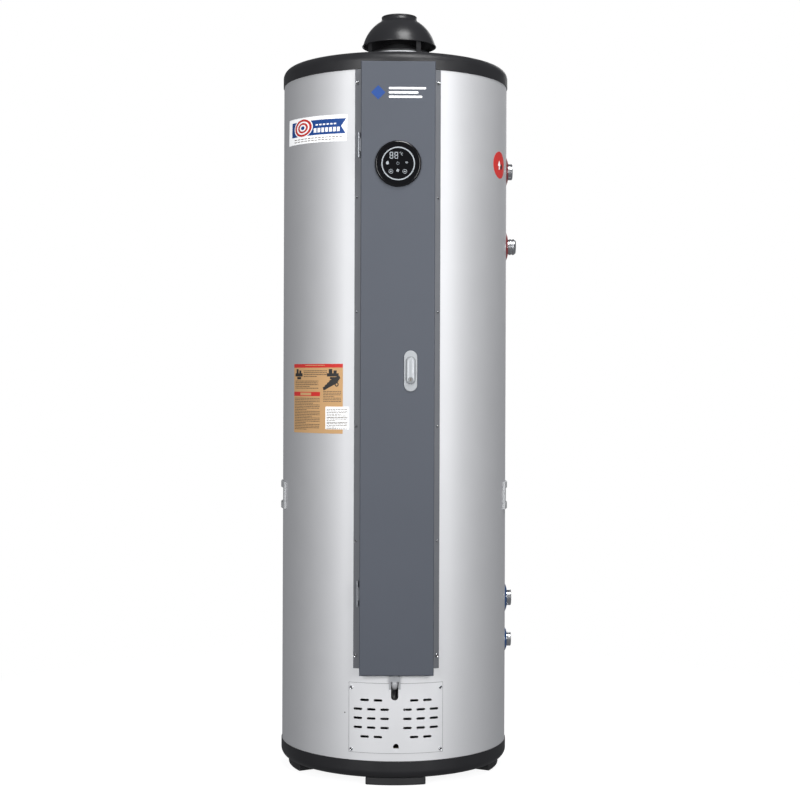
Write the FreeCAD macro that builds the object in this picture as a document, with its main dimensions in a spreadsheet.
"""A floor-standing gas storage water heater: insulated tank, flue and draft hood, burner, side ports,
and a hinged front door over the control bay.

Millimetres, +Z up. The origin is on the floor under the axis of the jacket. The front faces -Y.
"""

import FreeCAD
import Part
import math
import os
import re

import Sketcher
from FreeCAD import Placement, Rotation, Vector

SIZES = {
    # jacket and the two end caps
    "jacket_radius": 250,
    "jacket_wall": 1.2,
    "jacket_low": 41,
    "jacket_high": 1524,
    "cap_gap": 0.2,
    "cap_wall": 1.5,
    "top_cap_low": 1509,
    "top_cap_high": 1549,
    "top_cap_round": 20,
    "bottom_cap_high": 55,
    "bottom_cap_round": 18,
    "floor_hole_radius": 75,
    "foot_height": 17,
    "foot_inner": 160,
    "foot_outer": 235,
    "seam_half": 14,
    "seam_rise": 7.5,
    # pressure tank, skirt and insulation
    "tank_radius": 205,
    "tank_wall": 3,
    "tank_top": 1400,
    "tank_floor": 236,
    "head_rise": 42,
    "skirt_low": 30,
    "foam_low": 222,
    "foam_high": 1508,
    "wool_low": 56,
    # flue and draft hood
    "flue_x": 8,
    "flue_radius": 50,
    "flue_wall": 2.5,
    "flue_top": 1570,
    "baffle_width": 80,
    "baffle_wall": 2,
    "hood_rim": 1605,
    "hood_sphere": 83.3,
    "hood_drop": 15,
    "hood_wall": 1.2,
    "hood_top": 1673.5,
    "collar_radius": 40,
    "collar_length": 10,
    "leg_radius": 77,
    "leg_width": 12,
    "leg_wall": 1.5,
    "dish_radius": 74,
    "dish_low": 1577,
    "dish_skirt": 11,
    # burner and combustion chamber
    "burner_radius": 85,
    "burner_low": 128,
    "shield_low": 84,
    "venturi_z": 110,
    "window_half": 90.5,
    "window_low": 82,
    "window_high": 199,
    # front cover and door
    "door_half": 78,
    "door_low": 236.5,
    "door_high": 1521.5,
    "door_front": 266,
    "door_depth": 12,
    "door_wall": 1.2,
    "door_round": 3,
    "frame_half": 90,
    "frame_low": 248,
    "frame_high": 1508.5,
    "frame_wall": 1.2,
    "frame_front": 253.4,
    "lip_width": 8,
    "bay_half": 68,
    "bay_low": 262,
    "bay_high": 1494,
    "bay_front": 240,
    "bay_back": 211,
    "screw_first": 275,
    "screw_pitch": 241,
    "screw_angle": 19.9,
    # hinges
    "hinge_x": -82.5,
    "hinge_y": -257,
    "knuckle_radius": 3,
    "hinge_pin_radius": 1.5,
    "hinge_play": 0.06,
    "hinge_length": 53,
    "knuckle_gap": 0.4,
    "hinge_low_z": 407.7,
    "hinge_high_z": 1346.5,
    # latch
    "latch_x": 27.6,
    "latch_z": 855.8,
    "plate_width": 27.7,
    "plate_length": 85.7,
    "plate_mid": 873.9,
    "plate_thick": 3,
    "lever_width": 18,
    "lever_reach": 38,
    "lever_thick": 6,
    "shaft_radius": 7.5,
    "key_radius": 5.6,
    "latch_play": 0.05,
    "cam_length": 48,
    "cam_width": 12,
    # controller
    "dial_z": 1306.5,
    "dial_radius": 48.5,
    "dial_proud": 5.5,
    "dial_hole": 44,
    "cup_radius": 43.4,
    "cup_depth": 20,
    # gas valve, knob and pipe
    "valve_low": 305,
    "valve_high": 400,
    "valve_half": 42,
    "valve_front": 240,
    "knob_radius": 19,
    "knob_thick": 9,
    "knob_z": 366,
    "stem_radius": 4,
    "pipe_radius": 7,
    "pipe_x": -3,
    "pipe_y": -246.5,
    "pipe_bend": 8,
    "pipe_level": 209.5,
    "pipe_end_y": -166,
    "strap_low": 206,
    "strap_high": 234,
    "strap_half": 11.8,
    # burner access panel
    "panel_half": 98.5,
    "panel_low": 72,
    "panel_high": 217.5,
    "panel_wall": 1.2,
    "slot_length": 18,
    "slot_height": 5,
    "slot_top": 182.5,
    "slot_pitch": 19.2,
    # ports on the right-hand side
    "hot_z": 1326,
    "relief_z": 1157,
    "cold_z": 366,
    "drain_z": 272,
    "socket_radius": 18.2,
    "socket_bore": 12.06,
    "socket_depth": 20,
    "drain_radius": 15.8,
    "drain_bore": 9.32,
    "socket_reach": 264,
    "relief_reach": 272,
    "escutcheon_radius": 32.3,
    "drain_escutcheon": 27,
    # carry grips
    "grip_z": 599.5,
    "grip_length": 142,
    "grip_height": 59,
    "grip_rise": 4,
    "grip_depth": 30,
    "grip_lip": 11,
    # labels
    "label_wall": 0.3,
}

doc = FreeCAD.newDocument("TankWaterHeater")
sheet = doc.addObject("Spreadsheet::Sheet", "Sizes")
for row, (alias, value) in enumerate(SIZES.items(), start=1):
    sheet.set(f"A{row}", alias)
    sheet.set(f"B{row}", str(value))
    sheet.setAlias(f"B{row}", alias)
doc.recompute()

subparts = []


def size(alias):
    """One driving dimension, read back from the sheet."""
    return float(sheet.get(alias))


def from_sheet(text):
    """An expression in plain aliases, made to read the sheet."""
    return re.sub(r"[a-z]\w*", lambda m: "Sizes." + m[0] if m[0] in SIZES else m[0], str(text))


def bind(thing, **sizes):
    for name, text in sizes.items():
        thing.setExpression(name, from_sheet(text))


def place(thing, at, turn=None):
    """Put an object at three bound coordinates, turned by a fixed rotation."""
    thing.Placement = Placement(Vector(), turn or Rotation())
    for axis, text in zip("xyz", at):
        thing.setExpression(f"Placement.Base.{axis}", from_sheet(text))


TOWARDS = {
    "+z": Rotation(),
    "+x": Rotation(Vector(0, 1, 0), 90),
    "-y": Rotation(Vector(1, 0, 0), 90),
    "+y": Rotation(Vector(1, 0, 0), -90),
}


def box(name, low, high, turn=None):
    """A box between two corners, each of three expressions."""
    made = doc.addObject("Part::Box", name)
    spans = [f"({b}) - ({a})" for a, b in zip(low, high)]
    bind(made, Length=spans[0], Width=spans[1], Height=spans[2])
    place(made, low, turn)
    return made


def turned_block(name, angle, low, high, middle="flue_x"):
    """A box between two corners in a frame turned about an upright axis at x = middle, y = 0."""
    turn = Rotation(Vector(0, 0, 1), angle)
    made = doc.addObject("Part::Box", name)
    spans = [f"({b}) - ({a})" for a, b in zip(low, high)]
    bind(made, Length=spans[0], Width=spans[1], Height=spans[2])
    across, along = turn.multVec(Vector(1, 0, 0)), turn.multVec(Vector(0, 1, 0))
    place(made, (f"{middle} + {across.x:.9f} * ({low[0]}) + {along.x:.9f} * ({low[1]})",
                 f"{across.y:.9f} * ({low[0]}) + {along.y:.9f} * ({low[1]})", low[2]), turn)
    return made


def cylinder(name, radius, length, at, towards="+z"):
    made = doc.addObject("Part::Cylinder", name)
    bind(made, Radius=radius, Height=length)
    turn = towards if isinstance(towards, Rotation) else TOWARDS[towards]
    place(made, at, turn)
    return made


def cone(name, radius_low, radius_high, length, at, towards="+z"):
    made = doc.addObject("Part::Cone", name)
    bind(made, Radius1=radius_low, Radius2=radius_high, Height=length)
    place(made, at, TOWARDS[towards])
    return made


def fuse(name, shapes):
    made = doc.addObject("Part::MultiFuse", name)
    made.Shapes = shapes
    return made


def common(name, shapes):
    made = doc.addObject("Part::MultiCommon", name)
    made.Shapes = shapes
    return made


def cut(name, base, tools):
    made = doc.addObject("Part::Cut", name)
    made.Base = base
    made.Tool = tools if not isinstance(tools, list) else fuse(name + "_tools", tools)
    return made


def group(name, solids):
    """Separate solids of one kind that share a node."""
    made = doc.addObject("Part::Compound", name)
    made.Links = solids
    return made


def tube(name, outer, inner, length, at, towards="+z"):
    rod = cylinder(name + "_outer", outer, length, at, towards)
    hole = cylinder(name + "_inner", inner, length, at, towards)
    return cut(name, rod, hole)


def ring_block(name, radii, heights, start, end):
    """A moulded block of a ring; start and end are degrees to the right of the front."""
    outer, inner = radii
    low, high = heights
    solid = doc.addObject("Part::Cylinder", name + "_solid")
    bind(solid, Radius=outer, Height=f"({high}) - ({low})")
    solid.Angle = end - start
    place(solid, ("0", "0", low), Rotation(Vector(0, 0, 1), start - 90))
    core = cylinder(name + "_core", inner, f"({high}) - ({low})", ("0", "0", low))
    return cut(name, solid, core)


def finish(thing, label):
    """Name an object as a sub-part of the heater."""
    thing.Label = label
    subparts.append(thing)
    return thing


def new_body(name):
    return doc.addObject("PartDesign::Body", name)


def origin_plane(body, role):
    return next(f for f in body.Origin.OriginFeatures if f.Role == role)


def new_sketch(body, name, role, offset=None):
    sketch = body.newObject("Sketcher::SketchObject", name)
    sketch.AttachmentSupport = (origin_plane(body, role), [""])
    sketch.MapMode = "FlatFace"
    if offset is not None:
        sketch.setExpression("AttachmentOffset.Base.z", from_sheet(offset))
    return sketch


def pin_point(sketch, geometry, corner, at):
    """Hold one sketch point at two bound coordinates."""
    for kind, text in zip(("DistanceX", "DistanceY"), at):
        number = sketch.addConstraint(Sketcher.Constraint(kind, -1, 1, geometry, corner, 1.0))
        sketch.setExpression(f"Constraints[{number}]", from_sheet(text))


def value_of(text):
    """The number that an expression in plain aliases has now."""
    names = sorted((n for n in SIZES if n in str(text)), key=len, reverse=True)
    for name in names:
        text = re.sub(rf"\b{name}\b", repr(size(name)), str(text))
    return float(sheet.evalExpression(str(text)))


def draw_outline(sketch, points):
    """A closed outline of straight lines through bound points."""
    here = [Vector(value_of(a), value_of(b), 0) for a, b in points]
    count = len(points)
    for n in range(count):
        sketch.addGeometry(Part.LineSegment(here[n], here[(n + 1) % count]), False)
    for n in range(count):
        sketch.addConstraint(Sketcher.Constraint("Coincident", n, 2, (n + 1) % count, 1))
    for n in range(count):
        pin_point(sketch, n, 1, points[n])


def draw_circle(sketch, at, radius):
    centre = Vector(value_of(at[0]), value_of(at[1]), 0)
    number = sketch.addGeometry(Part.Circle(centre, Vector(0, 0, 1), value_of(radius)), False)
    pin_point(sketch, number, 3, at)
    held = sketch.addConstraint(Sketcher.Constraint("Radius", number, value_of(radius)))
    sketch.setExpression(f"Constraints[{held}]", from_sheet(radius))


def pad(body, name, sketch, length):
    made = body.newObject("PartDesign::Pad", name)
    made.Profile = sketch
    made.setExpression("Length", from_sheet(length))
    return made


def pocket(body, name, sketch, length=None, reverse=False):
    made = body.newObject("PartDesign::Pocket", name)
    made.Profile = sketch
    made.Reversed = reverse
    if length is None:
        made.Type = "ThroughAll"
        made.Midplane = True
    else:
        made.setExpression("Length", from_sheet(length))
    return made


def turned_body(name, points):
    """A body turned about the Z axis from an outline of (radius, height) points."""
    body = new_body(name)
    sketch = new_sketch(body, name + "_profile", "XZ_Plane")
    draw_outline(sketch, points)
    turn = body.newObject("PartDesign::Revolution", name + "_turn")
    turn.Profile = sketch
    turn.ReferenceAxis = (sketch, ["V_Axis"])
    turn.Angle = 360
    doc.recompute()
    return body, turn


def round_rings(body, feature, rings):
    """Round circular edges, each found by its radius and height."""
    for count, (radius, level, blend) in enumerate(rings):
        found = []
        for number, edge in enumerate(feature.Shape.Edges, start=1):
            curve = edge.Curve
            if not isinstance(curve, Part.Circle):
                continue
            if abs(curve.Radius - value_of(radius)) < 0.01 and abs(curve.Center.z - value_of(level)) < 0.01:
                found.append(f"Edge{number}")
        blended = body.newObject("PartDesign::Fillet", f"{body.Name}_round{count}")
        blended.Base = (feature, found)
        blended.setExpression("Radius", from_sheet(blend))
        doc.recompute()
        feature = blended
    return feature


# ---- casing ------------------------------------------------------------------------------------


def side_port_drill(name, radius, level):
    """A cylinder through the right-hand side, for a port to pass."""
    return cylinder(name, radius, "120", ("170", "0", level), "+x")


# degrees to the right of the front: the middle of each foot, and half of what it spans
FOOT_ANGLES = (0, 78, 180, 282)
FOOT_SPREAD = 16

PORTS = {
    "hot": "hot_z",
    "relief": "relief_z",
    "cold": "cold_z",
    "drain": "drain_z",
}


def grip_windows(name, grow):
    """Openings for the two carry grips."""
    half = f"grip_length / 2 - grip_lip + {grow}"
    rise = f"grip_height / 2 - grip_lip + {grow}"
    windows = []
    for side, (near, far) in {"left": ("-260", "-215"), "right": ("215", "260")}.items():
        low = (near, f"-({half})", f"grip_z - ({rise})")
        high = (far, half, f"grip_z + ({rise})")
        windows.append(box(f"{name}_{side}", low, high))
    return windows


def bay_window(name, grow, inner, outer):
    """The tall front opening that the control bay fills."""
    low = (f"-bay_half - {grow}", f"-{outer}", f"bay_low - {grow}")
    high = (f"bay_half + {grow}", f"-{inner}", f"bay_high + {grow}")
    return box(name, low, high)


def pipe_notch(name, inner, half):
    """The slot that the supply pipe runs down, from the bay to the burner window."""
    low = (f"pipe_x - {half}", "-262", "window_high - 20")
    high = (f"pipe_x + {half}", f"-{inner}", "bay_low + 2")
    return box(name, low, high)


def burner_window(name, inner):
    return box(name, ("-window_half", "-262", "window_low"), ("window_half", f"-{inner}", "window_high"))


def make_jacket(screws):
    shell = tube("jacket_tube", "jacket_radius", "jacket_radius - jacket_wall",
                 "jacket_high - jacket_low", ("0", "0", "jacket_low"))
    tools = [bay_window("jacket_bay", 1.2, 200, 262), pipe_notch("jacket_notch", 230, 9)]
    tools.append(burner_window("jacket_burner_window", 200))
    tools += grip_windows("jacket_grip", 1.0)
    for port, level in PORTS.items():
        tools.append(side_port_drill(f"jacket_{port}", "socket_radius + 2", level))
    finish(cut("jacket", shell, tools + screws), "jacket")

    strip = tube("seam_ring", "jacket_radius + 1.4", "jacket_radius + 0.2",
                 "top_cap_low - bottom_cap_high - 6", ("0", "0", "bottom_cap_high + 3"))
    width = box("seam_width", ("-seam_half", "200", "bottom_cap_high"), ("seam_half", "260", "top_cap_low"))
    rib = box("seam_rib", ("-5", "jacket_radius + 0.8", "bottom_cap_high + 3"),
              ("5", "jacket_radius + seam_rise", "top_cap_low - 3"))
    screws = []
    for number in range(6):
        level = f"bottom_cap_high + {90 + 250 * number}"
        shank = cylinder(f"seam_shank_{number}", "1.5", "2", ("9.4", "jacket_radius + 0.3", level), "+y")
        head = cylinder(f"seam_head_{number}", "3.2", "1.9", ("9.4", "jacket_radius + 1.1", level), "+y")
        screws.append(fuse(f"seam_screw_{number}", [shank, head]))
    seam = fuse("seam_profile", [common("seam_strip", [strip, width]), rib])
    finish(cut("jacket_seam", seam, screws), "jacket_seam")
    finish(group("seam_screws", screws), "seam_screws")


def make_caps():
    outer = "jacket_radius + cap_gap + cap_wall"
    inner = "jacket_radius + cap_gap"
    rim = "flue_radius + flue_x + 4"
    top, turn = turned_body("top_cap", [
        (outer, "top_cap_low"), (outer, "top_cap_high"), (rim, "top_cap_high"),
        (rim, "top_cap_high - cap_wall"), (inner, "top_cap_high - cap_wall"), (inner, "top_cap_low")])
    round_rings(top, turn, [(outer, "top_cap_high", "top_cap_round"),
                            (inner, "top_cap_high - cap_wall", "top_cap_round - cap_wall")])
    finish(top, "top_cap")

    hole = "floor_hole_radius"
    bottom, turn = turned_body("bottom_cap", [
        (outer, "bottom_cap_high"), (outer, "foot_height"), (hole, "foot_height"),
        (hole, "foot_height + cap_wall"), (inner, "foot_height + cap_wall"), (inner, "bottom_cap_high")])
    round_rings(bottom, turn, [(outer, "foot_height", "bottom_cap_round"),
                               (inner, "foot_height + cap_wall", "bottom_cap_round - cap_wall")])
    finish(bottom, "bottom_cap")


def make_feet():
    """Four feet under the base; the side feet sit a little forward of the side ports."""
    feet = [ring_block(f"foot{middle}", ("foot_outer", "foot_inner"), ("0", "foot_height"),
                       middle - FOOT_SPREAD, middle + FOOT_SPREAD) for middle in FOOT_ANGLES]
    finish(group("feet", feet), "feet")


# ---- tank, flue and insulation -------------------------------------------------------------------


def head_points(rim_level, rise):
    """A domed tank head: a flange down its rim, then a crown in to the flue hole."""
    return [
        ("tank_radius - tank_wall", f"{rim_level} - 18"),
        ("tank_radius - tank_wall", f"{rim_level}"),
        ("150", f"{rim_level} + 0.62 * {rise}"),
        ("flue_radius", f"{rim_level} + {rise}"),
        ("flue_radius", f"{rim_level} + {rise} - 4"),
        ("149", f"{rim_level} + 0.62 * {rise} - 4"),
        ("tank_radius - tank_wall - 3", f"{rim_level} - 3"),
        ("tank_radius - tank_wall - 3", f"{rim_level} - 18"),
    ]


def make_tank():
    shell = tube("tank_tube", "tank_radius", "tank_radius - tank_wall", "tank_top - skirt_low",
                 ("0", "0", "skirt_low"))
    tools = [burner_window("tank_burner_window", 150)]
    for port, level in PORTS.items():
        radius = "drain_radius" if port == "drain" else "socket_radius"
        tools.append(side_port_drill(f"tank_{port}", radius, level))
    tools.append(cylinder("tank_probe_hole", "8", "60", ("22", "-180", "knob_z - 24"), "-y"))
    tools.append(cylinder("tank_pipe_hole", "pipe_radius + 1", "60", ("pipe_x", "-180", "pipe_level"), "-y"))
    finish(cut("tank_shell", shell, tools), "tank_shell")

    top = turned_body("top_head_blank", head_points("tank_top", "head_rise"))[0]
    seat = cylinder("anode_seat", "12", "120", ("110", "60", "tank_top - 40"))
    tube_hole = cylinder("head_flue_hole", "flue_radius", "200", ("flue_x", "0", "tank_top - 60"))
    finish(cut("tank_top_head_drilled", top, [seat, tube_hole]), "tank_top_head")

    bottom = turned_body("bottom_head_blank", head_points("tank_floor", "0.7 * head_rise"))[0]
    low_hole = cylinder("floor_flue_hole", "flue_radius", "200", ("flue_x", "0", "tank_floor - 60"))
    finish(cut("tank_bottom_head_drilled", bottom, low_hole), "tank_bottom_head")

    rod = cylinder("anode_bar", "10.5", "920", ("110", "60", "tank_top - 900"))
    plug = cylinder("anode_plug", "12", "24", ("110", "60", "tank_top + 14"))
    nut = doc.addObject("Part::Prism", "anode_hexagon")
    nut.Polygon = 6
    bind(nut, Circumradius="16", Height="12")
    place(nut, ("110", "60", "tank_top + 38"))
    finish(fuse("anode_rod", [rod, plug, nut]), "anode_rod")


def make_flue():
    low = "tank_floor + 0.7 * head_rise - 14"
    at = ("flue_x", "0", low)
    pipe = tube("flue_tube", "flue_radius", "flue_radius - flue_wall", f"flue_top - ({low})", at)
    finish(pipe, "flue_tube")

    stem = box("turbulator_strip", ("flue_x - baffle_width / 2", "-baffle_wall / 2", "tank_floor + 60"),
               ("flue_x + baffle_width / 2", "baffle_wall / 2", "flue_top - 8"))
    vanes = [stem]
    for number in range(9):
        level = f"tank_floor + 130 + {number} * 130"
        lean = Rotation(Vector(1, 0, 0), 45 if number % 2 else -45)
        vane = doc.addObject("Part::Box", f"turbulator_vane{number}")
        bind(vane, Length="baffle_width - 30", Width="28", Height="baffle_wall")
        place(vane, ("flue_x - baffle_width / 2 + 15", "0", level), lean)
        vanes.append(vane)
    finish(fuse("flue_turbulator", vanes), "flue_turbulator")


def column_rows(side):
    """Height ranges of the foam beside a carry grip: (low, high) of whole blocks and of the port gaps."""
    grip_low = "grip_z - grip_height / 2 + grip_lip - 4"
    grip_high = "grip_z + grip_height / 2 - grip_lip + 4"
    if side == "left":
        return [("foam_low", grip_low), (grip_high, "foam_high")], []
    gaps = [(f"{level} - 22", f"{level} + 22") for level in ("drain_z", "cold_z", "relief_z", "hot_z")]
    blocks = [("foam_low", gaps[0][0]), (gaps[0][1], gaps[1][0]), (gaps[1][1], grip_low),
              (grip_high, gaps[2][0]), (gaps[2][1], gaps[3][0]), (gaps[3][1], "foam_high")]
    return blocks, gaps


def make_insulation(screws):
    """Foam blocks round the tank and wool blocks round the combustion chamber."""
    radii = ("jacket_radius - jacket_wall - 0.2", "tank_radius + 0.2")
    whole = ("foam_low", "foam_high")
    blocks = []
    for side, sign in (("right", 1), ("left", -1)):
        spans = [(18, 73.5, whole), (106.5, 143, whole), (143, 180, whole)]
        rows, gaps = column_rows(side)
        spans += [(73.5, 106.5, row) for row in rows]
        for gap in gaps:
            spans += [(73.5, 82, gap), (98, 106.5, gap)]
        for number, (near, far, heights) in enumerate(spans):
            start, end = sorted((sign * near, sign * far))
            block = ring_block(f"foam_{side}_{number}", radii, heights, start, end)
            if near == 18:
                tools = [bay_window(f"foam_{side}_bay", 1.6, 150, 262)] + screws
                block = cut(f"foam_{side}_front", block, tools)
            blocks.append(block)
    sill = ring_block("foam_sill", radii, ("foam_low", "bay_low - 1.6"), -18, 18)
    blocks.append(cut("foam_sill_cut", sill, pipe_notch("foam_notch", 200, 17)))
    blocks.append(ring_block("foam_head", radii, ("bay_high + 1.6", "foam_high"), -18, 18))
    finish(group("foam_insulation", blocks), "foam_insulation")

    radii = ("jacket_radius - jacket_wall - 0.4", "tank_radius + 0.4")
    chamber = ("wool_low", "foam_low - 1")
    wool = [ring_block(f"wool_{n}", radii, chamber, start, end)
            for n, (start, end) in enumerate(((27, 90), (90, 180), (-90, -27), (-180, -90)))]
    wool.append(ring_block("wool_sill", radii, ("wool_low", "window_low"), -27, 27))
    head = ring_block("wool_head", radii, ("window_high", "foam_low - 1"), -27, 27)
    wool.append(cut("wool_head_cut", head, pipe_notch("wool_notch", 200, 17)))
    wool = [cut(f"wool_block_{n}", block, screws) if n >= 4 else block for n, block in enumerate(wool)]
    finish(group("chamber_insulation", wool), "chamber_insulation")


def make_hood():
    centre = ("flue_x", "0", "hood_rim - hood_drop")
    outer = doc.addObject("Part::Sphere", "hood_outer")
    inner = doc.addObject("Part::Sphere", "hood_inner")
    bind(outer, Radius="hood_sphere")
    bind(inner, Radius="hood_sphere - hood_wall")
    for ball in (outer, inner):
        place(ball, centre)
    above = cylinder("hood_above", "120", "66", ("flue_x", "0", "hood_rim"))
    bore = cylinder("hood_bore", "collar_radius - hood_wall", "200", ("flue_x", "0", "hood_rim"))
    dome = common("hood_cap", [cut("hood_shell", outer, inner), above])
    collar = cylinder("hood_collar", "collar_radius", "collar_length + 8",
                      ("flue_x", "0", "hood_top - collar_length - 8"))
    lip = tube("hood_lip", "hood_sphere + 0.4", "hood_sphere - hood_wall - 1.6", "1.6",
               ("flue_x", "0", "hood_rim"))
    whole = cut("hood_bored", fuse("hood_whole", [dome, collar, lip]), bore)
    finish(whole, "flue_hood")

    legs = []
    feet_screws = []
    for number in range(4):
        angle = 32 + 90 * number
        legs.append(hood_leg(number, angle))
        feet_screws.append(hood_screw(number, angle))
    finish(group("hood_legs", legs), "hood_legs")
    finish(group("hood_screws", feet_screws), "hood_screws")

    brim = "dish_low + dish_skirt"
    dish = cone("dish_outer", "dish_radius", "26", "20", ("flue_x", "0", brim))
    hollow = cone("dish_inner", "dish_radius - 2", "24", "20", ("flue_x", "0", f"{brim} - 1.6"))
    skirt = tube("dish_skirt", "dish_radius", "dish_radius - 1.2", "dish_skirt", ("flue_x", "0", "dish_low"))
    spokes = [turned_block(f"dish_spoke{n}", 32 + 90 * n, ("-leg_radius", "-leg_width / 2", "dish_low"),
                           ("leg_radius", "leg_width / 2", "dish_low + 1.2")) for n in range(2)]
    finish(fuse("hood_baffle", [cut("dish", dish, hollow), skirt] + spokes), "hood_baffle")


def hood_leg(number, angle):
    half = "leg_width / 2"
    post = turned_block(f"leg_post{number}", angle, ("leg_radius", f"-{half}", "top_cap_high"),
                        ("leg_radius + leg_wall", half, "hood_rim + 8"))
    toe = turned_block(f"leg_toe{number}", angle, ("leg_radius", f"-{half}", "top_cap_high"),
                       ("leg_radius + 18", half, "top_cap_high + leg_wall"))
    return fuse(f"leg{number}", [post, toe])


def hood_screw(number, angle):
    turn = Rotation(Vector(0, 0, 1), angle)
    out = turn.multVec(Vector(1, 0, 0))
    at = (f"flue_x + {out.x:.9f} * (leg_radius + 11)", f"{out.y:.9f} * (leg_radius + 11)",
          "top_cap_high + leg_wall")
    return cylinder(f"hood_screw{number}", "3.4", "2.2", at)


# ---- burner -------------------------------------------------------------------------------------


def make_burner():
    head, _ = turned_body("burner", [
        ("0", "burner_low"), ("30", "burner_low"), ("burner_radius", "burner_low + 14"),
        ("burner_radius", "burner_low + 24"), ("burner_radius - 8", "burner_low + 30"),
        ("34", "burner_low + 30"), ("20", "burner_low + 22"), ("0", "burner_low + 22")])
    finish(head, "burner")

    venturi = tube("venturi_tube", "15", "12.5", "150", ("pipe_x", "-150", "venturi_z"), "+y")
    riser = tube("venturi_riser", "15", "12.5", "burner_low - venturi_z", ("pipe_x", "-12", "venturi_z"))
    air = cylinder("venturi_air", "8", "60", ("pipe_x - 30", "-138", "venturi_z"), "+x")
    mixer = cut("venturi_open", venturi, air)
    finish(fuse("burner_venturi", [mixer, riser]), "burner_venturi")

    disc, _ = turned_body("radiation_shield", [
        ("0", "shield_low"), ("120", "shield_low"), ("128", "shield_low + 8"),
        ("126", "shield_low + 8"), ("119", "shield_low + 1.6"), ("0", "shield_low + 1.6")])
    posts = [cylinder(f"shield_post{n}", "4", "shield_low - foot_height - cap_wall",
                      (f"{108 * math.cos(math.radians(30 + 120 * n)):.4f}",
                       f"{108 * math.sin(math.radians(30 + 120 * n)):.4f}", "foot_height + cap_wall"))
             for n in range(3)]
    finish(fuse("burner_shield", [disc] + posts), "burner_shield")

    stem = cylinder("pilot_stem", "4", "34", ("24", "-98", "burner_low + 2"))
    tip = cylinder("pilot_tip", "6", "12", ("24", "-98", "burner_low + 30"))
    wand = cylinder("pilot_electrode", "2.2", "44", ("36", "-98", "burner_low + 2"))
    plate = box("pilot_plate", ("16", "-104", "burner_low"), ("42", "-92", "burner_low + 2.4"))
    finish(fuse("pilot_igniter", [stem, tip, wand, plate]), "pilot_igniter")


def make_gas_pipe():
    """The supply pipe: down from the valve, in through the panel's upper notch, down to the venturi."""
    x, y, bend = size("pipe_x"), size("pipe_y"), size("pipe_bend")
    level, low = size("pipe_level"), size("venturi_z") + 10
    start, end_y = size("valve_low"), size("pipe_end_y")
    slant = bend * math.sqrt(0.5)
    route = [
        Part.LineSegment(Vector(x, y, start), Vector(x, y, level + bend)),
        Part.Arc(Vector(x, y, level + bend), Vector(x, y + bend - slant, level + bend - slant),
                 Vector(x, y + bend, level)),
        Part.LineSegment(Vector(x, y + bend, level), Vector(x, end_y - bend, level)),
        Part.Arc(Vector(x, end_y - bend, level), Vector(x, end_y - bend + slant, level - bend + slant),
                 Vector(x, end_y, level - bend)),
        Part.LineSegment(Vector(x, end_y, level - bend), Vector(x, end_y, low)),
    ]
    spine = Part.Wire([piece.toShape() for piece in route])
    ring = Part.Wire(Part.Circle(Vector(x, y, start), Vector(0, 0, -1), size("pipe_radius")).toShape())
    bore = Part.Wire(Part.Circle(Vector(x, y, start), Vector(0, 0, -1), size("pipe_radius") - 1.2).toShape())
    solid = spine.makePipeShell([ring], True, True).cut(spine.makePipeShell([bore], True, True))
    pipe = doc.addObject("Part::Feature", "gas_pipe")
    pipe.Shape = solid
    pipe.Placement = Placement()
    finish(pipe, "gas_pipe")

    jet = cylinder("orifice_body", "8.4", "20", ("pipe_x", "pipe_end_y", "venturi_z"), "+y")
    elbow = cylinder("orifice_elbow", "pipe_radius + 3", "28", ("pipe_x", "pipe_end_y", "venturi_z - 11"))
    seat = cylinder("orifice_seat", "pipe_radius", "20", ("pipe_x", "pipe_end_y", "venturi_z + 10"))
    finish(cut("gas_orifice", fuse("orifice_solid", [jet, elbow]), seat), "gas_orifice")

    make_strap()


def make_strap():
    """The clamp that holds the pipe against the jacket: two flanges, a bridge, a back pad and a screw."""
    front = "pipe_y - pipe_radius"
    parts = [box("strap_bridge", ("pipe_x - strap_half", f"{front} - 1.7", "strap_high - 12"),
                 ("pipe_x + strap_half", f"{front} - 0.4", "strap_high"))]
    edges = (("-strap_half", "-strap_half + 3.4"), ("strap_half - 3.4", "strap_half"))
    for number, (near, far) in enumerate(edges):
        parts.append(box(f"strap_flange{number}", (f"pipe_x + {near}", "-253", "strap_low"),
                         (f"pipe_x + {far}", "-251.9", "strap_high")))
        parts.append(box(f"strap_web{number}", (f"pipe_x + {near}", f"{front} - 1.7", "strap_high - 12"),
                         (f"pipe_x + {far}", "-251.9", "strap_high")))
        parts.append(box(f"strap_pad{number}", (f"pipe_x + {near}", "-252", "panel_high + 2"),
                         (f"pipe_x + {far}", "-250.2", "strap_high")))
    parts.append(cylinder("strap_screw", "2.4", "1.4", ("pipe_x", f"{front} - 1.5", "strap_high - 5"), "-y"))
    finish(fuse("pipe_clip", parts), "pipe_clip")


# ---- control bay, valve and knob --------------------------------------------------------------------


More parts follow.
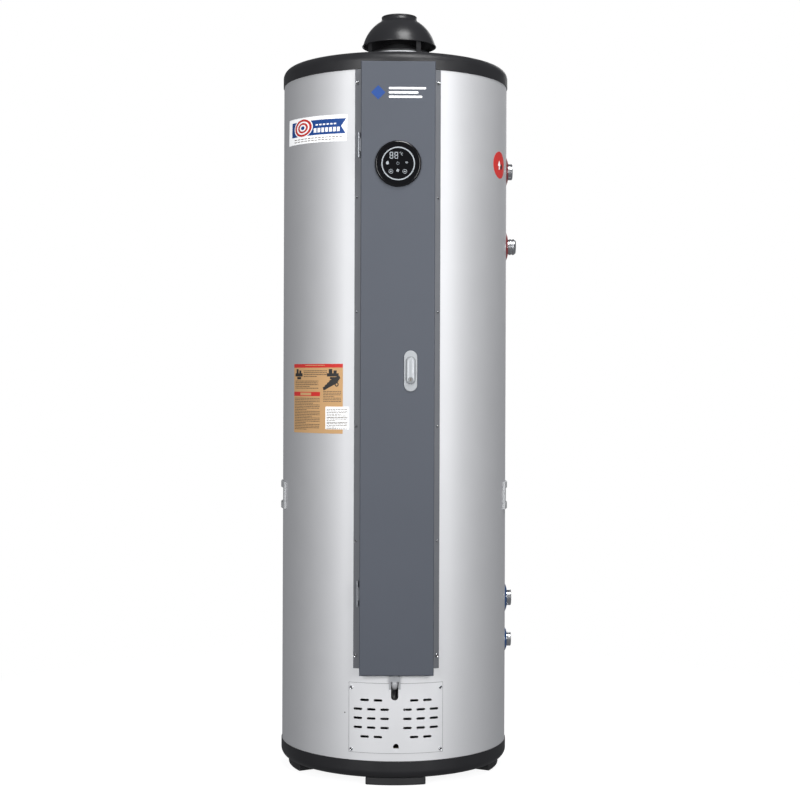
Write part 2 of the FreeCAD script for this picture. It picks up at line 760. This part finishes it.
def make_bay():
    """The bay's lining: a back plate and four flat walls, spot-welded at the edges."""
    wall = "1"
    inner_half, front, back = f"bay_half - {wall}", "-bay_front", f"-bay_back - {wall}"
    probe = cylinder("bay_probe_hole", "8.6", "20", ("22", "-bay_back + 5", "knob_z - 24"), "-y")
    notch = cylinder("bay_pipe_notch", "pipe_radius + 3.5", "6", ("pipe_x", "pipe_y", "bay_low - 2"))
    rear = box("bay_rear", ("-bay_half", back, "bay_low"), ("bay_half", "-bay_back", "bay_high"))
    sides = [box("bay_left_wall", ("-bay_half", front, "bay_low"), (f"-({inner_half})", back, "bay_high")),
             box("bay_right_wall", (inner_half, front, "bay_low"), ("bay_half", back, "bay_high"))]
    roof = box("bay_roof", (f"-({inner_half})", front, f"bay_high - {wall}"), (inner_half, back, "bay_high"))
    floor = box("bay_floor", (f"-({inner_half})", front, "bay_low"), (inner_half, back, f"bay_low + {wall}"))
    walls = [cut("bay_rear_plate", rear, probe), cut("bay_floor_plate", floor, notch), roof] + sides
    finish(group("bay_pan", walls), "bay_pan")


def make_valve():
    """The gas control: a block with an outlet boss below, and a stem that the knob sits on."""
    body = new_body("gas_valve_block")
    sketch = new_sketch(body, "valve_profile", "XZ_Plane", "bay_back + 2.5")
    draw_outline(sketch, [
        ("-valve_half", "valve_low + 12"), ("-valve_half + 12", "valve_low"),
        ("valve_half - 12", "valve_low"),
        ("valve_half", "valve_low + 12"), ("valve_half", "valve_high - 8"), ("valve_half - 8", "valve_high"),
        ("-valve_half + 8", "valve_high"), ("-valve_half", "valve_high - 8")])
    pad(body, "valve_pad", sketch, "valve_front - bay_back - 2.5")
    doc.recompute()
    boss = cylinder("valve_outlet", "pipe_radius + 1.5", "14", ("pipe_x", "pipe_y + 1", "valve_low - 12"))
    stem = cylinder("valve_stem", "stem_radius", "6", ("0", "-valve_front", "knob_z"), "-y")
    dial = cylinder("valve_collar", "23", "1.2", ("0", "-valve_front", "knob_z"), "-y")
    pipe_hole = cylinder("valve_pipe_hole", "pipe_radius", "20", ("pipe_x", "pipe_y", "valve_low - 20"))
    whole = fuse("valve_whole", [body, boss, stem, dial])
    finish(cut("gas_valve", whole, pipe_hole), "gas_valve")

    front = "-valve_front - 1.6"
    disc = cylinder("knob_disc", "knob_radius", "knob_thick", ("0", front, "knob_z"), "-y")
    bar_low = ("-4", f"{front} - knob_thick - 1.6", "knob_z - knob_radius + 1")
    bar = box("knob_bar", bar_low, ("4", front, "knob_z + knob_radius - 1"))
    socket = cylinder("knob_socket", "stem_radius + 0.05", "6", ("0", front, "knob_z"), "-y")
    finish(cut("gas_knob", fuse("knob_solid", [disc, bar]), socket), "gas_knob")

    well = cylinder("probe_well", "8", "72", ("22", "-bay_back - 2.5", "knob_z - 24"), "+y")
    finger = cylinder("probe_finger", "5", "110", ("22", "-bay_back - 2.5", "knob_z - 24"), "+y")
    finish(fuse("temperature_probe", [well, finger]), "temperature_probe")


# ---- front cover ----------------------------------------------------------------------------------


def frame_strip(name, hand, section):
    """One strip of a side rail, drawn in section and padded upwards."""
    body = new_body(name)
    sketch = new_sketch(body, name + "_section", "XY_Plane", "frame_low")
    side = "" if hand > 0 else "-"
    draw_outline(sketch, [(f"{side}({x})", y) for x, y in section])
    pad(body, name + "_pad", sketch, "frame_high - frame_low")
    return body


def make_frame(screws):
    """The cover frame: per side a flange, a wall and a lip, and a folded strip at the top and the bottom."""
    wall_in, lip_in = "door_half - frame_wall", "door_half - lip_width"
    lip_back = "-frame_front + frame_wall"
    flange = [("frame_half", "-233.8"), (wall_in, "-238.0"),
              ("door_half", "-239.1"), ("frame_half + 0.4", "-234.9")]
    wall = [(wall_in, "-238.0"), (wall_in, "-frame_front"),
            ("door_half", "-frame_front"), ("door_half", "-239.1")]
    lip = [(lip_in, lip_back), (lip_in, "-frame_front"), (wall_in, "-frame_front"), (wall_in, lip_back)]
    strips = []
    flanges = []
    for side, hand in (("right", 1), ("left", -1)):
        flanges.append(frame_strip(f"{side}_flange", hand, flange))
        strips += [frame_strip(f"{side}_wall", hand, wall), frame_strip(f"{side}_lip", hand, lip)]
    doc.recompute()
    strips += [cut(f"frame_flange_{n}", piece, screws) for n, piece in enumerate(flanges)]

    way = cylinder("frame_pipe_way", "pipe_radius + 1", "16", ("pipe_x", "pipe_y", "frame_low - 2"))
    sill_lip = box("sill_lip", (f"-({lip_in})", "-frame_front", "frame_low"),
                   (lip_in, lip_back, "frame_low + 10"))
    sill = box("frame_sill", (f"-({wall_in})", lip_back, "frame_low"),
               (wall_in, "-251.0", "frame_low + frame_wall"))
    strips += [cut("frame_sill_lip", sill_lip, way), cut("frame_sill_strip", sill, way)]
    strips.append(box("head_lip", (f"-({lip_in})", "-frame_front", "frame_high - 12"),
                      (lip_in, lip_back, "frame_high")))
    strips.append(box("frame_head", (f"-({wall_in})", lip_back, "frame_high - frame_wall"),
                      (wall_in, "-251.0", "frame_high")))
    finish(group("cover_frame", strips), "cover_frame")


def radial(angle):
    """The rotation that points a cylinder outwards, at an angle to the right of the front."""
    return Rotation(Vector(0, 0, 1), angle).multiply(Rotation(Vector(1, 0, 0), 90))


def radial_cylinder(name, radius, angle, level, near, far):
    """A cylinder that points outwards from the heater's axis; angle is to the right of the front."""
    across, ahead = math.sin(math.radians(angle)), -math.cos(math.radians(angle))
    at = (f"{across:.9f} * ({near})", f"{ahead:.9f} * ({near})", level)
    return cylinder(name, radius, f"({far}) - ({near})", at, radial(angle))


def make_screws():
    heads = []
    for side in (-1, 1):
        for number in range(6):
            large = number in (0, 5)
            angle = side * size("screw_angle")
            level = f"screw_first + {number} * screw_pitch"
            head = radial_cylinder(f"cover_head_{side + 1}_{number}", "4.4" if large else "2.9",
                                   angle, level, "jacket_radius + 1.2", "jacket_radius + 3.4")
            shank = radial_cylinder(f"cover_shank_{side + 1}_{number}", "1.7",
                                    angle, level, "jacket_radius - 8", "jacket_radius + 2")
            heads.append(fuse(f"cover_screw_{side + 1}_{number}", [head, shank]))
    cover = finish(group("cover_screws", heads), "cover_screws")

    panel_heads = []
    for side in (-1, 1):
        for row, level in enumerate(("panel_low + 6", "panel_high - 10")):
            head = radial_cylinder(f"panel_head_{side + 1}_{row}", "4", side * 21.9, level,
                                   "jacket_radius + 1.8", "jacket_radius + 4")
            shank = radial_cylinder(f"panel_shank_{side + 1}_{row}", "1.7", side * 21.9, level,
                                    "jacket_radius - 6", "jacket_radius + 2")
            panel_heads.append(fuse(f"panel_screw_{side + 1}_{row}", [head, shank]))
    panel = finish(group("panel_screws", panel_heads), "panel_screws")
    return [cover, panel]


def make_door():
    """A pressed pan, open behind, with holes for the controller and the latch shaft."""
    body = new_body("cover_door")
    outline = new_sketch(body, "door_outline", "XZ_Plane", "door_front - door_depth")
    draw_outline(outline, [("-door_half", "door_low"), ("door_half", "door_low"),
                           ("door_half", "door_high"), ("-door_half", "door_high")])
    slab = pad(body, "door_slab", outline, "door_depth")
    doc.recompute()
    front = -size("door_front")
    found = [f"Edge{n}" for n, edge in enumerate(slab.Shape.Edges, start=1)
             if all(abs(v.Y - front) < 0.01 for v in edge.Vertexes)]
    soft = body.newObject("PartDesign::Fillet", "door_round_edges")
    soft.Base = (slab, found)
    soft.setExpression("Radius", from_sheet("door_round"))
    doc.recompute()
    hollow = new_sketch(body, "door_hollow", "XZ_Plane", "door_front - door_depth")
    wall = "door_wall"
    draw_outline(hollow, [(f"-door_half + {wall}", f"door_low + {wall}"),
                          (f"door_half - {wall}", f"door_low + {wall}"),
                          (f"door_half - {wall}", f"door_high - {wall}"),
                          (f"-door_half + {wall}", f"door_high - {wall}")])
    pocket(body, "door_inside", hollow, "door_depth - door_wall", reverse=True)
    holes = new_sketch(body, "door_holes", "XZ_Plane")
    draw_circle(holes, ("0", "dial_z"), "dial_hole")
    draw_circle(holes, ("latch_x", "latch_z"), "shaft_radius + 1")
    pocket(body, "door_holes_cut", holes)
    finish(body, "cover_door")


def make_hinges():
    third = "(hinge_length - 2 * knuckle_gap)"
    pins, fixed, moving = [], [], []
    for name, level in (("low", "hinge_low_z"), ("high", "hinge_high_z")):
        base = f"{level} - hinge_length / 2"
        spans = {
            "under": (base, f"0.25 * {third}"),
            "middle": (f"{base} + 0.25 * {third} + knuckle_gap", f"0.5 * {third}"),
            "over": (f"{base} + 0.75 * {third} + 2 * knuckle_gap", f"0.25 * {third}"),
        }
        pins.append(cylinder(f"pin_{name}", "hinge_pin_radius", "hinge_length - 2",
                             ("hinge_x", "hinge_y", f"{base} + 1")))
        hole = "hinge_pin_radius + hinge_play"
        for knuckle in ("under", "over"):
            start, length = spans[knuckle]
            barrel = cylinder(f"{knuckle}_{name}", "knuckle_radius", length, ("hinge_x", "hinge_y", start))
            bridge = box(f"{knuckle}_bridge_{name}", ("hinge_x", "hinge_y + 2.4", start),
                         ("-door_half - 0.4", "hinge_y + 3.4", f"{start} + {length}"))
            leaf = box(f"{knuckle}_leaf_{name}", ("-door_half - 1.6", "hinge_y + 2.4", start),
                       ("-door_half - 0.4", "-242", f"{start} + {length}"))
            bore = cylinder(f"{knuckle}_bore_{name}", hole, length, ("hinge_x", "hinge_y", start))
            solid = fuse(f"{knuckle}_solid_{name}", [barrel, bridge, leaf])
            fixed.append(cut(f"{knuckle}_knuckle_{name}", solid, bore))
        start, length = spans["middle"]
        barrel = cylinder(f"middle_{name}", "knuckle_radius", length, ("hinge_x", "hinge_y", start))
        bridge = box(f"middle_bridge_{name}", ("hinge_x", "hinge_y - 2", start),
                     ("-door_half - 0.1", "hinge_y - 0.9", f"{start} + {length}"))
        leaf = box(f"middle_leaf_{name}", ("-door_half - 1.2", "hinge_y - 6", start),
                   ("-door_half - 0.1", "hinge_y + 1.6", f"{start} + {length}"))
        bore = cylinder(f"middle_bore_{name}", hole, length, ("hinge_x", "hinge_y", start))
        solid = fuse(f"middle_solid_{name}", [barrel, bridge, leaf])
        moving.append(cut(f"middle_knuckle_{name}", solid, bore))
    finish(group("hinge_pins", pins), "hinge_pins")
    finish(group("hinge_leaves_frame", fixed), "hinge_leaves_frame")
    finish(group("hinge_leaves_door", moving), "hinge_leaves_door")


def obround(name, width, length, middle, depth, near):
    """An upright slot-shaped block on the front, from a distance in front of the axis outwards."""
    x, z = middle
    width = f"({width})"
    half = f"({length} - {width}) / 2"
    parts = [cylinder(f"{name}_{end}", f"{width} / 2", depth, (x, f"-({near})", f"{z} {sign} {half}"), "-y")
             for end, sign in (("top", "+"), ("foot", "-"))]
    low = (f"{x} - {width} / 2", f"-({near}) - ({depth})", f"{z} - {half}")
    parts.append(box(f"{name}_middle", low, (f"{x} + {width} / 2", f"-({near})", f"{z} + {half}")))
    return fuse(name, parts)


def make_latch():
    plate = obround("plate_blank", "plate_width", "plate_length", ("latch_x", "plate_mid"),
                    "plate_thick", "door_front")
    hole = cylinder("plate_hole", "shaft_radius + latch_play", "8",
                    ("latch_x", "-door_front + 2", "latch_z"), "-y")
    finish(cut("latch_plate", plate, hole), "latch_plate")

    nut = doc.addObject("Part::Prism", "latch_nut_hexagon")
    nut.Polygon = 6
    bind(nut, Circumradius="12.5", Height="4")
    place(nut, ("latch_x", "-door_front + door_wall + 4", "latch_z"), TOWARDS["-y"])
    nut_hole = cylinder("latch_nut_hole", "shaft_radius + latch_play", "6",
                        ("latch_x", "-door_front + door_wall + 5", "latch_z"), "-y")
    finish(cut("latch_nut", nut, nut_hole), "latch_nut")

    face = "door_front + plate_thick + 0.3"
    lever_length = "lever_reach + lever_width"
    lever = obround("lever_blank", "lever_width", lever_length,
                    ("latch_x", "latch_z + lever_reach / 2"), "lever_thick", face)
    shaft = cylinder("lever_shaft", "shaft_radius", f"{face} - frame_front + 3.2",
                     ("latch_x", "-frame_front + 3.2", "latch_z"), "-y")
    key_hole = cylinder("lever_key_hole", "key_radius + latch_play", "20",
                        ("latch_x", f"-({face}) + 10", "latch_z"), "-y")
    finish(cut("latch_lever", fuse("lever_solid", [lever, shaft]), key_hole), "latch_lever")

    cam_at = "-frame_front + 3.2"
    cam_blank = obround("cam_blank", "cam_width", "cam_length + cam_width",
                        ("latch_x", "latch_z - cam_length / 2 + cam_width / 2"), "2", "frame_front - 5.2")
    finish(cam_blank, "latch_cam")
    screw = cylinder("cam_screw", "4", "2.4", ("latch_x", f"{cam_at} + 4.4", "latch_z"), "-y")
    finish(screw, "latch_cam_screw")

    plug = cylinder("key_barrel", "key_radius", "lever_thick",
                    ("latch_x", f"-({face}) - 0.3", "latch_z"), "-y")
    slit = box("key_slit", ("latch_x - 0.9", f"-({face}) - lever_thick - 1", "latch_z - 3.6"),
               ("latch_x + 0.9", f"-({face}) - lever_thick + 3", "latch_z + 3.6"))
    finish(cut("key_plug", plug, slit), "key_plug")


def make_controller():
    ring = cylinder("bezel_rim", "dial_radius", "dial_proud - 1.5", ("0", "-door_front", "dial_z"), "-y")
    bevel = cone("bezel_bevel", "dial_radius", "dial_radius - 1.5", "1.5",
                 ("0", "-door_front - dial_proud + 1.5", "dial_z"), "-y")
    well = cylinder("bezel_well", "dial_radius - 4", "3.1",
                    ("0", "-door_front - dial_proud + 3", "dial_z"), "-y")
    through = cylinder("bezel_through", "dial_radius - 8", "10", ("0", "-door_front + 2", "dial_z"), "-y")
    finish(cut("controller_bezel", fuse("bezel_solid", [ring, bevel]), [well, through]), "controller_bezel")

    glass = cylinder("controller_glass", "dial_radius - 4.1", "2.4",
                     ("0", "-door_front - dial_proud + 2.9", "dial_z"), "-y")
    finish(glass, "controller_glass")

    cup = cylinder("cup_outer", "cup_radius", "cup_depth", ("0", "-door_front + cup_depth", "dial_z"), "-y")
    inside = cylinder("cup_inner", "cup_radius - 2", "cup_depth",
                      ("0", "-door_front + cup_depth - 2", "dial_z"), "-y")
    finish(cut("controller_housing", cup, inside), "controller_housing")

    board = cylinder("board_disc", "cup_radius - 3", "1.6", ("0", "-door_front + 7", "dial_z"), "-y")
    parts = [box(f"board_part{n}", (f"{x}", "-door_front + 7", f"dial_z + {z}"),
                 (f"{x} + {w}", f"-door_front + 7 + {t}", f"dial_z + {z} + {w}"))
             for n, (x, z, w, t) in enumerate(((-20, -6, 14, 4), (6, 8, 10, 6), (4, -22, 12, 5)))]
    finish(fuse("controller_board", [board] + parts), "controller_board")


# ---- burner access panel ----------------------------------------------------------------------------


def make_access_panel(screws):
    ring = tube("panel_ring", "jacket_radius + 0.2 + panel_wall", "jacket_radius + 0.2",
                "panel_high - panel_low", ("0", "0", "panel_low"))
    trim = box("panel_trim", ("-panel_half", "-262", "panel_low"), ("panel_half", "-200", "panel_high"))
    blank = common("panel_blank", [ring, trim])
    tools = []
    outer_rows, middle_rows = (38, 66), (24, 52, 80)
    for row in range(5):
        columns = outer_rows if row in (0, 4) else middle_rows
        for x in [sign * c for c in columns for sign in (-1, 1)]:
            tools += vent_slot(f"vent_{row}_{x + 100}", x, f"slot_top - {row} * slot_pitch")
    tools.append(obround("pipe_slot", "2 * pipe_radius + 1.2", "64", ("pipe_x", "215"), "60", "205"))
    tools.append(obround("light_slot", "11.6", "16", ("0", "84"), "60", "205"))
    finish(cut("access_panel", blank, tools + screws), "access_panel")


def vent_slot(name, x, level):
    """An air slot: a box with two round ends."""
    half = "(slot_length - slot_height) / 2"
    ends = [cylinder(f"{name}_{tag}", "slot_height / 2", "60", (f"{x} {sign} {half}", "-205", level), "-y")
            for tag, sign in (("left", "-"), ("right", "+"))]
    bar = box(f"{name}_bar", (f"{x} - {half}", "-265", f"{level} - slot_height / 2"),
              (f"{x} + {half}", "-205", f"{level} + slot_height / 2"))
    return ends + [bar]


# ---- ports ------------------------------------------------------------------------------------------


def port_socket(label, level, outer, bore, reach):
    """A threaded socket welded to the tank wall and standing out through the jacket."""
    start = "tank_radius - tank_wall"
    body = cylinder(f"{label}_body", outer, f"{reach} - ({start})", (start, "0", level), "+x")
    mouth = cylinder(f"{label}_mouth", bore, "socket_depth", (f"{reach} - socket_depth", "0", level), "+x")
    way = cylinder(f"{label}_way", f"{bore} - 2", "100", ("190", "0", level), "+x")
    return body, [mouth, way]


def make_ports():
    for label, level, outer, bore in (
            ("port_hot_outlet", "hot_z", "socket_radius", "socket_bore"),
            ("port_cold_inlet", "cold_z", "socket_radius", "socket_bore"),
            ("port_drain", "drain_z", "drain_radius", "drain_bore")):
        body, tools = port_socket(label, level, outer, bore, "socket_reach")
        finish(cut(label, body, tools), label)

    body, tools = port_socket("port_relief", "relief_z", "socket_radius", "socket_bore", "relief_reach")
    groove = tube("relief_groove", "socket_radius + 2", "socket_radius - 1.6", "2.4",
                  ("relief_reach - 9", "0", "relief_z"), "+x")
    bevel = cut("relief_bevel", tube("relief_bevel_ring", "socket_radius + 4", "socket_radius - 3", "3.5",
                                     ("relief_reach - 3", "0", "relief_z"), "+x"),
                cone("relief_bevel_cone", "socket_radius + 0.4", "socket_radius - 3", "3.5",
                     ("relief_reach - 3", "0", "relief_z"), "+x"))
    finish(cut("port_relief", body, tools + [groove, bevel]), "port_relief")

    hot = [escutcheon("hot", "hot_z", "escutcheon_radius", "socket_radius"),
           escutcheon("relief", "relief_z", "escutcheon_radius", "socket_radius")]
    cold = [escutcheon("cold", "cold_z", "escutcheon_radius", "socket_radius"),
            escutcheon("drain", "drain_z", "drain_escutcheon", "drain_radius")]
    finish(group("escutcheons_hot", hot), "escutcheons_hot")
    finish(group("escutcheons_cold", cold), "escutcheons_cold")


def escutcheon(name, level, radius, hole):
    """A dished trim ring that follows the jacket and rises towards its socket."""
    jacket = cylinder(f"{name}_jacket", "jacket_radius + 0.1", "80", ("0", "0", f"{level} - 40"))
    blank = cone(f"{name}_blank", radius, f"{hole} + 3", "14", ("jacket_radius - 9.5", "0", level), "+x")
    wide = cylinder(f"{name}_wide", f"{radius}", "12", ("jacket_radius - 8", "0", level), "+x")
    bore = cylinder(f"{name}_bore", f"{hole} + 0.1", "40", ("jacket_radius - 20", "0", level), "+x")
    return cut(f"{name}_escutcheon", common(f"{name}_plate", [blank, wide]), [jacket, bore])


# ---- carry grips ------------------------------------------------------------------------------------


def make_grips():
    grips = []
    for name, side in (("left", -1), ("right", 1)):
        near = "jacket_radius - jacket_wall - grip_depth"
        reach = "jacket_radius + 0.1 + grip_rise"
        spans = (near, reach) if side > 0 else (f"-({reach})", f"-({near})")
        flange_skin = tube(f"grip_skin_{name}", reach, "jacket_radius + 0.1", "grip_height",
                           ("0", "0", "grip_z - grip_height / 2"))
        flange_trim = box(f"grip_trim_{name}", (spans[0], "-grip_length / 2", "grip_z - grip_height / 2"),
                          (spans[1], "grip_length / 2", "grip_z + grip_height / 2"))
        flange = common(f"grip_flange_{name}", [flange_skin, flange_trim])
        half, rise = "grip_length / 2 - grip_lip", "grip_height / 2 - grip_lip"
        outer = box(f"grip_outer_{name}", (spans[0], f"-({half})", f"grip_z - ({rise})"),
                    (spans[1], half, f"grip_z + ({rise})"))
        bound = cylinder(f"grip_bound_{name}", reach, "grip_height", ("0", "0", "grip_z - grip_height / 2"))
        cup = common(f"grip_cup_{name}", [outer, bound])
        floor = (f"{near} + 2", "jacket_radius + 20")
        if side < 0:
            floor = ("-jacket_radius - 20", f"-({near}) - 2")
        hollow = box(f"grip_hollow_{name}", (floor[0], f"-({half}) + 2", f"grip_z - ({rise}) + 2"),
                     (floor[1], f"{half} - 2", f"grip_z + ({rise}) - 2"))
        grips.append(cut(f"grip_{name}", fuse(f"grip_solid_{name}", [flange, cup]), hollow))
    finish(group("side_grips", grips), "side_grips")


# ---- labels -----------------------------------------------------------------------------------------


def label_skin(label, angle, width, height, level, lean=0.0, disc=False, under=0):
    """A thin label on the jacket, centred at an angle to the right of the front."""
    inner = f"jacket_radius + {under} * label_wall"
    skin = tube(f"{label}_skin", f"{inner} + label_wall", inner, f"{height} + 40",
                ("0", "0", f"{level} - {height} / 2 - 20"))
    across, ahead = math.sin(math.radians(angle)), -math.cos(math.radians(angle))
    if disc:
        stamp = radial_cylinder(f"{label}_stamp", f"{width} / 2", angle, f"{level}",
                                "jacket_radius - 60", "jacket_radius + 10")
    else:
        stamp = doc.addObject("Part::Box", f"{label}_stamp")
        bind(stamp, Length=f"{width}", Width=f"{height}", Height="120")
        turn = radial(angle).multiply(Rotation(Vector(0, 0, 1), lean))
        corner = turn.multVec(Vector(-width / 2, -height / 2, 0))
        place(stamp, (f"{across:.9f} * (jacket_radius - 100) + {corner.x:.6f}",
                      f"{ahead:.9f} * (jacket_radius - 100) + {corner.y:.6f}",
                      f"{level} + {corner.z:.6f}"), turn)
    finish(common(label, [skin, stamp]), label)


def make_labels():
    label_skin("badge_label", -47.6, 188, 56, 1391.5, -2.2)
    label_skin("instruction_label", -44.6, 150, 148, 815)
    label_skin("data_label", -30.5, 57.5, 48, 774, under=1)
    label_skin("hot_sticker", 64.8, 59, 59, 1327, disc=True)


# ---- the whole heater -------------------------------------------------------------------------------


def build():
    screws = make_screws()
    make_jacket(screws)
    make_caps()
    make_feet()
    make_tank()
    make_flue()
    make_insulation(screws)
    make_hood()
    make_burner()
    make_gas_pipe()
    make_bay()
    make_valve()
    make_frame(screws)
    make_door()
    make_hinges()
    make_latch()
    make_controller()
    make_access_panel(screws)
    make_ports()
    make_grips()
    make_labels()
    doc.recompute()


def check():
    """Stop on any failed object or empty shape."""
    for thing in doc.Objects:
        if "Invalid" in thing.State or "Error" in thing.State:
            raise RuntimeError(f"{thing.Name} failed: {thing.State}")
    for thing in subparts:
        shape = thing.Shape
        if shape.isNull() or not shape.isValid() or not shape.Solids:
            raise RuntimeError(f"{thing.Label} has no valid solid")


def export():
    os.makedirs("parts", exist_ok=True)
    for thing in subparts:
        thing.Shape.exportStep(f"parts/{thing.Label}.step")
        print(f"{thing.Label}: {len(thing.Shape.Solids)} solid(s), {thing.Shape.Volume / 1000:.1f} cm3")


build()
check()
export()
